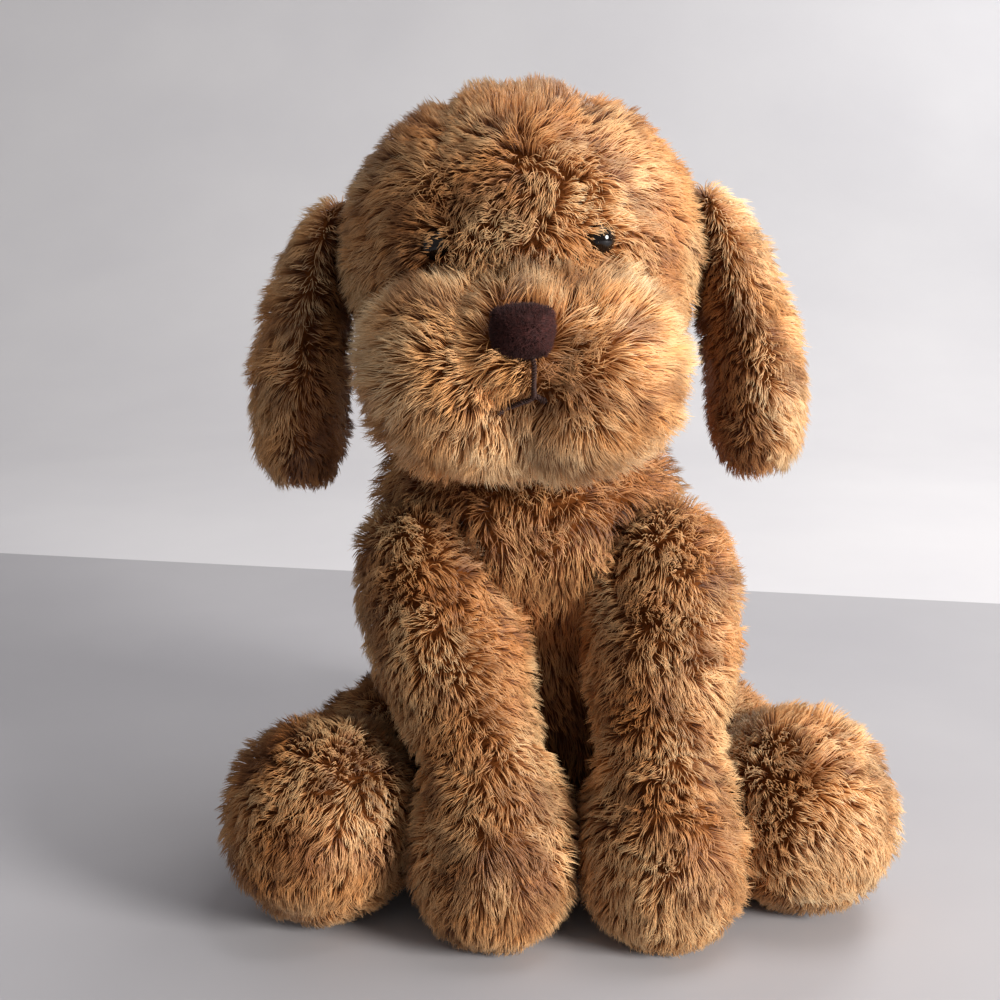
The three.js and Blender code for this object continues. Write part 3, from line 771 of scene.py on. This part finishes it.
def strand_mesh(name, form, panel_number, root, middle, tip, normal, shade, radius):
    """One mesh of a panel's skin and its strands."""
    low, low_turn = ring_round(root - normal * ROOT_DEPTH, middle - root, radius)
    high, high_turn = ring_round(middle, tip - root, radius * STRAND_TAPER)
    count = len(root)
    points = np.concatenate([low, high, tip[:, None]], 1).reshape(-1, 3)
    own_normal = np.concatenate([low_turn, high_turn, unit(tip - middle)[:, None]], 1)
    face = unit(SKIN_SHADING * normal[:, None] + STRAND_SHADING * own_normal).reshape(-1, 3)
    pile = np.zeros((count, 7, 3))
    pile[:, 3:6, 0] = BEND_AT
    pile[:, 6, 0] = 1
    pile[:, :, 1:] = shade[:, None]
    base = np.arange(count)[:, None] * 7
    quads = np.concatenate([base + np.array([k, (k + 1) % 3, 3 + (k + 1) % 3, 3 + k]) for k in range(3)], 0)
    tris = np.concatenate([base + np.array([3 + k, 3 + (k + 1) % 3, 6]) for k in range(3)], 0)
    across = max(1, math.ceil(math.sqrt(count)))
    cell = np.stack([np.arange(count) % across, np.arange(count) // across], 1)[:, None]
    uv = ((cell + STRAND_UV) / across * (1, STRANDS_UV_TOP)).reshape(-1, 2)
    held = (form.panel[form.triangles] == panel_number).any(1)
    skin = form.triangles[held]
    used, number = np.unique(skin, return_inverse=True)
    skin = number.reshape(-1, 3) + len(points)
    ground = form.points[used]
    span = np.maximum(ground.max(0) - ground.min(0), 1e-6)
    flat = (ground - ground.min(0)) / span
    uv = np.concatenate([uv, SKIN_UV_START + SKIN_UV_SIZE * flat[:, [0, 2]]])
    pile = np.concatenate([pile.reshape(-1, 3), np.tile(SKIN_PILE, (len(used), 1))])
    face = np.concatenate([face, form.normals[used]])
    points = np.concatenate([points, ground])
    return mesh_from(name, points, [quads, tris, skin], face, pile, uv)


def mesh_from(name, points, polygons, normals, pile, uv):
    """A Blender object from its points and from strand quads, strand triangles and skin triangles."""
    mesh = bpy.data.meshes.new(name)
    mesh.vertices.add(len(points))
    mesh.vertices.foreach_set("co", points.astype(np.float32).ravel())
    corners = np.concatenate([p.ravel() for p in polygons])
    sizes = np.concatenate([np.full(len(p), p.shape[1]) for p in polygons])
    mesh.loops.add(len(corners))
    mesh.loops.foreach_set("vertex_index", corners.astype(np.int32))
    mesh.polygons.add(len(sizes))
    starts = np.concatenate([[0], np.cumsum(sizes)[:-1]])
    mesh.polygons.foreach_set("loop_start", starts.astype(np.int32))
    stored = mesh.attributes.new("pile", "FLOAT_VECTOR", "POINT")
    stored.data.foreach_set("vector", pile.astype(np.float32).ravel())
    layout = mesh.uv_layers.new(name="OFBake")
    layout.uv.foreach_set("vector", uv[corners].astype(np.float32).ravel())
    kind = np.concatenate([np.full(len(p), slot) for slot, p in zip((0, 0, 1), polygons)])
    mesh.polygons.foreach_set("material_index", kind.astype(np.int32))
    mesh.update(calc_edges=True)
    mesh.validate()
    mesh.shade_smooth()
    mesh.normals_split_custom_set_from_vertices(normals.tolist())
    made = bpy.data.objects.new(name, mesh)
    bpy.context.scene.collection.objects.link(made)
    return made


TAN = {
    "root": linear(104, 58, 25),
    "middle": linear(188, 125, 68),
    "warm": linear(206, 132, 64),
    "tip": linear(250, 216, 164),
}
materials = {
    "plush": plush_material("tan_plush", **TAN),
    # A paler copy of the tan plush: lighter pile and painted sheen on the muzzle and outer ears, painted
    # highlight on the lit left hind foot.
    "pale": plush_material(
        "pale_sheen_plush",
        root=linear(142, 86, 44),
        middle=linear(222, 162, 102),
        warm=linear(232, 162, 92),
        tip=linear(255, 232, 188),
    ),
    "chest_plush": plush_material(
        "chest_plush",
        root=linear(88, 48, 21),
        middle=linear(180, 118, 65),
        warm=linear(196, 124, 66),
        tip=linear(238, 194, 136),
    ),
    # The tan plush made darker for the ears' inner faces: painted shade.
    "ear_lining": plush_material(
        "shaded_lining_plush",
        root=linear(70, 38, 18),
        middle=linear(156, 100, 56),
        warm=linear(170, 108, 60),
        tip=linear(214, 164, 110),
    ),
    "sole_plush": plush_material("sole_plush", **TAN),
}

# Panels dressed in a paler copy of the tan plush: on the cheeks, chin and outer ears their lighter pile
# together with painted sheen, on the left hind foot painted highlight where the window light falls.
PALE_SHEEN_PANELS = ("cheek", "chin", "ear_outer", "foot_upper_left")
backing = backing_material()

# The joint between each limb and another body: that body, and where the bend starts and ends. Only the names
# are read here.
BENDS = {
    "neck": ("torso", (-0.0064, -0.006, 0.140), (-0.0064, -0.006, 0.156)),
    "tail": ("torso", (0, 0.068, 0.024), (0, 0.086, 0.030)),
    "ear_left": ("head", (0.040, -0.008, 0.214), (0.056, -0.008, 0.206)),
    "ear_right": ("head", (-0.057, -0.004, 0.211), (-0.073, -0.004, 0.202)),
    "front_leg_left": ("torso", (0.035, -0.016, 0.114), (0.035, -0.035, 0.084)),
    "front_leg_right": ("torso", (-0.038, -0.016, 0.114), (-0.035, -0.035, 0.084)),
    "hind_leg_left": ("torso", (0.036, 0.030, 0.031), (0.052, 0.004, 0.031)),
    "hind_leg_right": ("torso", (-0.036, 0.030, 0.031), (-0.050, 0.004, 0.031)),
}


def attach(piece, body):
    """A piece of a jointed body has its placement baked into its mesh and is left unparented; any other
    piece rides on its body.
    """
    if body in BENDS:
        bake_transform(piece)
    else:
        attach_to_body(piece, body)


for form in forms.values():
    for number, panel in enumerate(form.panels):
        body, length, flow, slot = PLUSH[panel]
        p, n, lengths = roots_on(form, number, STRANDS_PER_M2, length)
        root, middle, tip, normal, shade = strands(p, n, lengths, flow)
        piece = strand_mesh(f"{panel}_plush", form, number, root, middle, tip, normal, shade, STRAND_RADIUS)
        piece.data.materials.append(materials["pale" if panel.startswith(PALE_SHEEN_PANELS) else slot])
        piece.data.materials.append(backing)
        attach(piece, body)
        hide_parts(panel)


# Nose, eyes and mouth


def nose_pad():
    """The nose's skin: the CAD nose rounded, squared off and a little wider above."""
    points, triangles = outer_part(*remeshed(["nose"], NOSE_VOXEL))
    points = smoothed(points, triangles, NOSE_ROUNDING_STEPS)
    across, up = ((points - nose_centre) / nose_half).T[[0, 2]]
    round_size = np.hypot(across, up)
    square_size = np.maximum(np.maximum(abs(across), abs(up)), 0.05)
    corner = np.clip(round_size / square_size - 1, 0, 1)
    squarer = 1 + NOSE_SQUARENESS * corner * smoothstep(round_size, 0.3, 1)
    points[:, 0] = nose_centre[0] + across * squarer * (NOSE_WIDTH + NOSE_WIDER_ABOVE * up) * nose_half[0]
    points[:, 2] = nose_centre[2] + (up * squarer * NOSE_HEIGHT - NOSE_DROP) * nose_half[2]
    normals = normals_of(points, triangles)
    return Form(["nose"], points - normals * NOSE_SHRINK, triangles, normals)


def flocked_nose():
    """The nose as a rounded velvet pad with its own short flock."""
    pad = nose_pad()
    p, n, lengths = roots_on(pad, 0, NOSE_FLOCK_PER_M2, NOSE_FLOCK_LENGTH)
    tangent = unit(rng.normal(0, 1, p.shape))
    middle = p + 0.5 * lengths[:, None] * n
    tip = p + lengths[:, None] * (0.9 * n + 0.4 * tangent)
    shade = rng.random((len(p), 2))
    piece = strand_mesh("nose_flock", pad, 0, p, middle, tip, n, shade, NOSE_FLOCK_RADIUS)
    flock = flock_material()
    piece.data.materials.append(flock)
    piece.data.materials.append(flock)
    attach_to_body(piece, "head")
    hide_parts("nose")


def bead_profile():
    """Radius and height from the top of the dome, round the rolled rim and down the shank."""
    dome = [k / BEAD_DOME_STEPS * math.pi / 2 for k in range(1, BEAD_DOME_STEPS + 1)]
    return [
        (0.0, BEAD_HEIGHT),
        *[(BEAD_RADIUS * math.sin(a), BEAD_HEIGHT * math.cos(a)) for a in dome],
        (BEAD_RADIUS * 0.98, -0.0006),
        (BEAD_RADIUS * 0.9, -0.0011),
        (BEAD_SHANK_RADIUS, -0.0012),
        (BEAD_SHANK_RADIUS, BEAD_SHANK_END),
        (0.0, BEAD_SHANK_END),
    ]


def turned(name, profile):
    """A mesh made by turning a profile round the Z axis."""
    made = bmesh.new()
    previous = None
    turns = [2 * math.pi * k / BEAD_TURN_STEPS for k in range(BEAD_TURN_STEPS)]
    for radius, height in profile:
        if radius == 0:
            row = [made.verts.new((0, 0, height))]
        else:
            row = [made.verts.new((radius * math.cos(a), radius * math.sin(a), height)) for a in turns]
        if previous:
            for k in range(BEAD_TURN_STEPS):
                a, b = previous[k % len(previous)], previous[(k + 1) % len(previous)]
                c, d = row[(k + 1) % len(row)], row[k % len(row)]
                made.faces.new(list(dict.fromkeys([a, d, c, b])))
        previous = row
    mesh = bpy.data.meshes.new(name)
    made.to_mesh(mesh)
    made.free()
    mesh.shade_smooth()
    return mesh


def bead_eye(side, look):
    """A domed glossy bead with a rolled rim."""
    end, axis = eye_ends[side]
    mesh = turned(f"eye_{side}_bead", bead_profile())
    bead = bpy.data.objects.new(mesh.name, mesh)
    bpy.context.scene.collection.objects.link(bead)
    bead.rotation_mode = "QUATERNION"
    bead.rotation_quaternion = Vector(axis).to_track_quat("Z", "Y")
    bead.location = Vector(end) - Vector(axis) * (BEAD_HEIGHT - BEAD_PROUD + EYE_SINK)
    mesh.materials.append(look)
    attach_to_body(bead, "head")
    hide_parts(f"eye_{side}")


def evenly_along(line):
    """A path resampled to even steps, and how far along each step is."""
    lengths = np.concatenate([[0], np.cumsum(np.linalg.norm(np.diff(line, axis=0), axis=1))])
    line = line[np.concatenate([[True], np.diff(lengths) > 1e-6])]
    lengths = np.unique(lengths.round(7))
    at = np.linspace(0, lengths[-1], THREAD_RINGS)
    return at, np.stack([np.interp(at, lengths, line[:, k]) for k in range(3)], 1)


def mouth_thread():
    """Two-ply thread stitched along the mouth."""
    points, polygons = [], []
    for line in mouth:
        at, middle = evenly_along(line)
        direction = unit(np.gradient(middle, axis=0))
        side = unit(np.cross(direction, [0, -1, 0.2]))
        up = unit(np.cross(direction, side))
        for ply in range(2):
            turn = at / THREAD_TWIST * 2 * math.pi + math.pi * ply
            offset = side * np.cos(turn)[:, None] + up * np.sin(turn)[:, None]
            centre = middle + THREAD_RADIUS * 0.8 * offset
            start = len(points)
            for k in range(THREAD_RINGS):
                for m in range(THREAD_SIDES):
                    a = m * 2 * math.pi / THREAD_SIDES
                    out = side[k] * math.cos(a) + up[k] * math.sin(a)
                    points.append(centre[k] + out * THREAD_RADIUS)
            for k in range(THREAD_RINGS - 1):
                for m in range(THREAD_SIDES):
                    a = start + k * THREAD_SIDES + m
                    b = start + k * THREAD_SIDES + (m + 1) % THREAD_SIDES
                    polygons.append((a, b, b + THREAD_SIDES, a + THREAD_SIDES))
    mesh = bpy.data.meshes.new("mouth_thread")
    mesh.from_pydata([tuple(p) for p in points], [], polygons)
    mesh.shade_smooth()
    thread = bpy.data.objects.new(mesh.name, mesh)
    bpy.context.scene.collection.objects.link(thread)
    mesh.materials.append(thread_material())
    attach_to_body(thread, "head")
    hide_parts("mouth_stitch")


bead_look = bead_material()
flocked_nose()
mouth_thread()
for side in SIDES:
    bead_eye(side, bead_look)

# Hidden inner parts keep their CAD solids.
filling = filling_material()
inner = {
    "stuffing": filling,
    "padding": filling,
    "pouch": pouch_material(),
    "washer": washer_material(),
}
for name, node in nodes.items():
    for word, material in inner.items():
        if word in name:
            node.data.materials.clear()
            node.data.materials.append(material)


# Stage, light and camera


def studio_material(name, low, high, scale):
    s = Shader(name, roughness=0.7)
    return s.colour(s.ramp(s.noise(scale, 5), [(0.3, low), (0.7, high)]))


def sweep(material):
    """A pale floor that curves up into a wall far behind the board."""
    profile = [(-FLOOR_REACH, -BOARD_THICK), (SWEEP_START, -BOARD_THICK)]
    for k in range(1, SWEEP_STEPS + 1):
        turn = k / SWEEP_STEPS * math.pi / 2
        rise = SWEEP_RADIUS * (1 - math.cos(turn)) - BOARD_THICK
        profile.append((SWEEP_START + SWEEP_RADIUS * math.sin(turn), rise))
    profile.append((SWEEP_START + SWEEP_RADIUS, FLOOR_REACH))
    points = [(x, y, z) for y, z in profile for x in (-FLOOR_REACH, FLOOR_REACH)]
    faces = [(2 * k, 2 * k + 1, 2 * k + 3, 2 * k + 2) for k in range(len(profile) - 1)]
    mesh_object("sweep", points, faces, material)


def mesh_object(name, points, faces, material):
    mesh = bpy.data.meshes.new(name)
    mesh.from_pydata(points, [], faces)
    mesh.shade_smooth()
    mesh.materials.append(material)
    made = bpy.data.objects.new(name, mesh)
    bpy.context.scene.collection.objects.link(made)


def board(material):
    """The grey board that the dog sits on, with a thin edge behind it."""
    slope = BOARD_SIDE * math.tan(BOARD_TURN)
    top = [
        (-BOARD_SIDE, -BOARD_FRONT, 0),
        (BOARD_SIDE, -BOARD_FRONT, 0),
        (BOARD_SIDE, BOARD_BACK + slope, 0),
        (-BOARD_SIDE, BOARD_BACK - slope, 0),
    ]
    under = [(x, y, -BOARD_THICK) for x, y, _ in top]
    edges = [(k, (k + 1) % 4, (k + 1) % 4 + 4, k + 4) for k in range(4)]
    mesh_object("board", top + under, [(0, 1, 2, 3)], material)
    mesh_object("board_edge", top + under, edges, material)


def area_light(name, place, target, size, power, colour):
    data = bpy.data.lights.new(name, "AREA")
    data.shape = "DISK"
    data.size = size
    data.energy = power
    data.color = colour
    light = bpy.data.objects.new(name, data)
    light.location = place
    light.rotation_mode = "QUATERNION"
    light.rotation_quaternion = (Vector(target) - Vector(place)).to_track_quat("-Z", "Y")
    bpy.context.scene.collection.objects.link(light)


sweep(studio_material("sweep_paint", linear(226, 224, 227), linear(233, 231, 233), 5))
board(studio_material("board_paint", linear(182, 180, 184), linear(190, 188, 191), 7))
area_light("window", (0.95, -0.75, 0.42), (0.03, 0, 0.12), 0.45, 22, (1, 0.975, 0.94))
area_light("ceiling", (0.35, 0.0, 1.2), (0, 0, 0.1), 0.7, 4, (0.98, 0.98, 1))
area_light("wall wash", (0.9, 0.8, 1.1), (1.3, 1.7, 0.5), 0.5, 6, (0.98, 0.99, 1))
area_light("rear", (0.55, 0.66, 0.75), (0, 0.05, 0.12), 0.4, 3.0, (1, 0.98, 0.95))
world = bpy.data.worlds.new("studio")
world.use_nodes = True
world.node_tree.nodes["Background"].inputs["Color"].default_value = (0.92, 0.91, 0.91, 1)
world.node_tree.nodes["Background"].inputs["Strength"].default_value = 0.31
bpy.context.scene.world = world
bpy.context.scene.view_settings.view_transform = "Standard"

camera = bpy.data.objects.new("camera", bpy.data.cameras.new("camera"))
camera.data.lens = CAMERA_LENS
camera.data.sensor_width = SENSOR_WIDTH
camera.data.clip_start = 0.01
camera.location = CAMERA_AT
camera.rotation_euler = (math.pi / 2 - CAMERA_PITCH, 0, 0)
bpy.context.scene.collection.objects.link(camera)
bpy.context.scene.camera = camera
